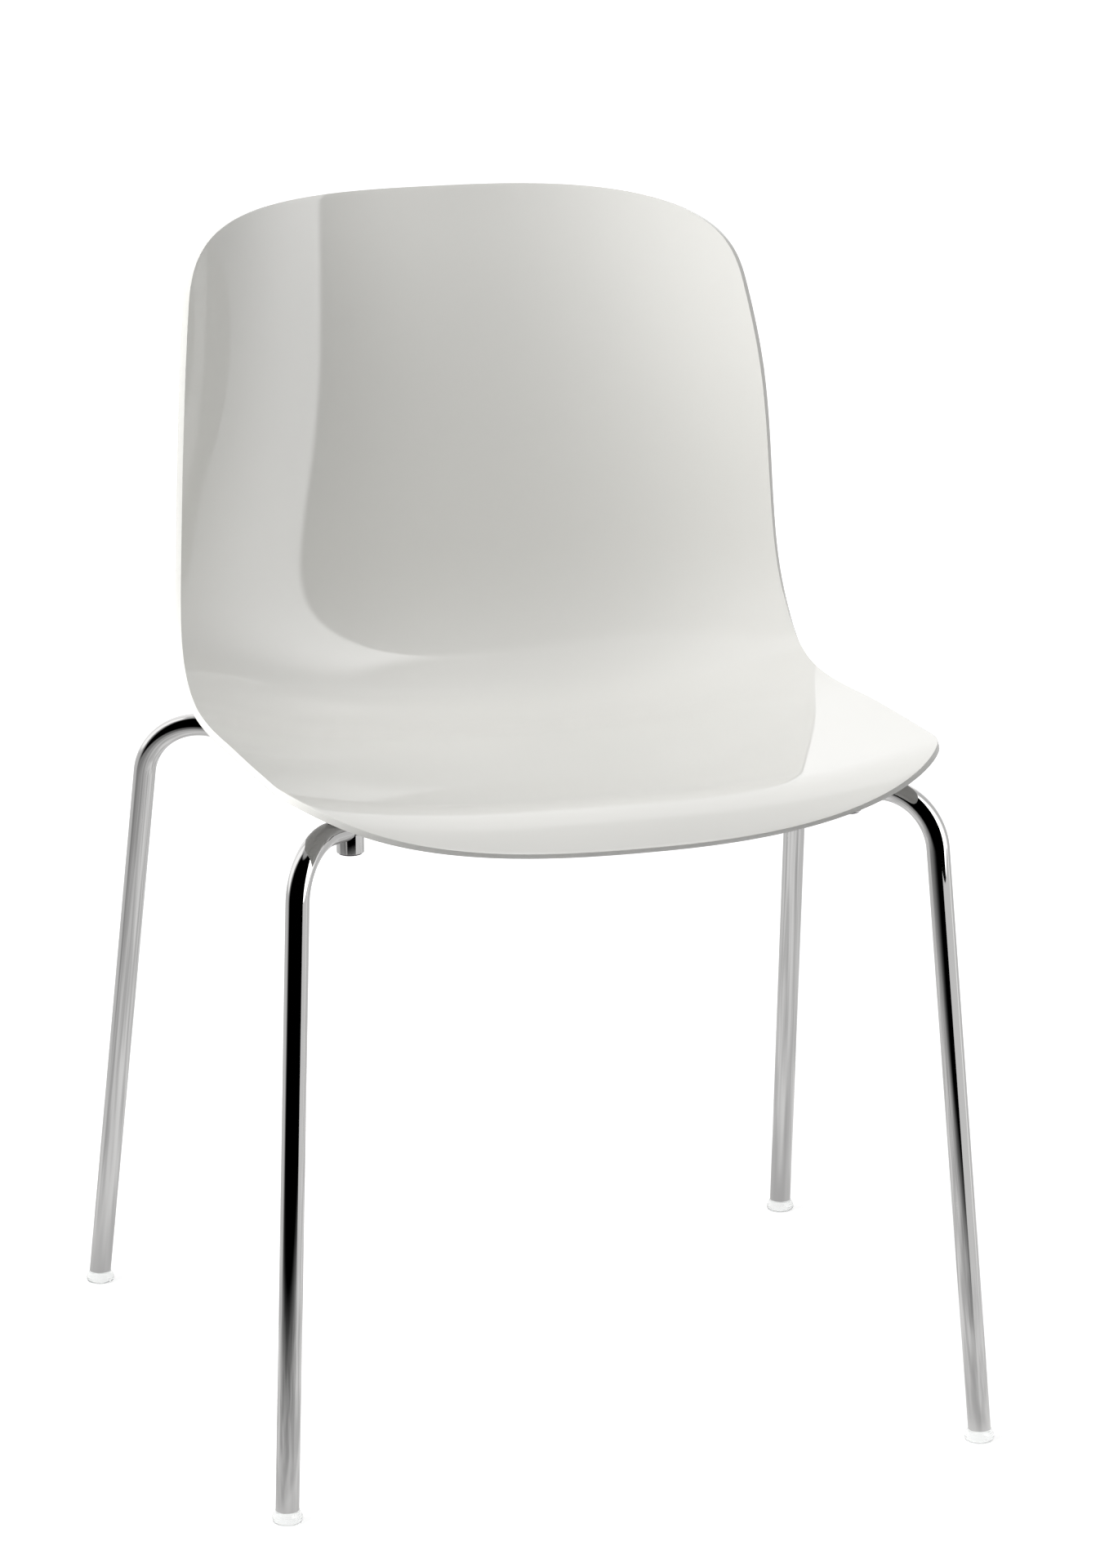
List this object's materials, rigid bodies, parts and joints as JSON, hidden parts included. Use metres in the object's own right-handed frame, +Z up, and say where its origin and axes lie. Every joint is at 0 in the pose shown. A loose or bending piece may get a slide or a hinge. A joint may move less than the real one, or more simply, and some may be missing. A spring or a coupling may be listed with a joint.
{
  "type": "stacking chair",
  "caption": "Stacking chair: one-piece glossy moulded seat and back, dished and rounded at the corners, on splayed bent chrome tube legs with clear glides.",
  "frame": {"origin": "On the floor, midway between the outermost points in X and Y, between the four feet.", "axes": "+Z up. The sitter faces -Y, so the front edge of the seat is at -Y and the back at +Y. X runs across the chair, which is symmetric about X = 0."},
  "size_m": [0.548, 0.5186, 0.7977],
  "materials": {
    "shell": "gloss, warm off-white, injection moulded",
    "chrome_tube": "mirror chrome plate on steel tube",
    "hub_steel": "chrome plate over turned steel",
    "saddle_plastic": "matt dark grey nylon",
    "insert_brass": "plain brass",
    "fastener_steel": "zinc plated steel",
    "chrome_cup": "mirror chrome",
    "pad_rubber": "matt dark rubber",
    "glide_clear": "clear moulded plastic, slightly milky"
  },
  "bodies": {
    "root": {"seat_shell": "shell", "leg_front_left": "chrome_tube", "leg_front_right": "chrome_tube", "leg_rear_left": "chrome_tube", "leg_rear_right": "chrome_tube", "hub": "hub_steel", "saddle_front_left": "saddle_plastic", "saddle_front_right": "saddle_plastic", "saddle_rear_left": "saddle_plastic", "saddle_rear_right": "saddle_plastic", "thread_inserts": "insert_brass", "shell_screws": "fastener_steel", "screw_washers": "fastener_steel", "cup_front_left": "chrome_cup", "cup_front_right": "chrome_cup", "cup_rear_left": "chrome_cup", "cup_rear_right": "chrome_cup", "pad_front_left": "pad_rubber", "pad_front_right": "pad_rubber", "pad_rear_left": "pad_rubber", "pad_rear_right": "pad_rubber", "glide_front_left": "glide_clear", "glide_front_right": "glide_clear", "glide_rear_left": "glide_clear", "glide_rear_right": "glide_clear"}
  },
  "joints": []
}
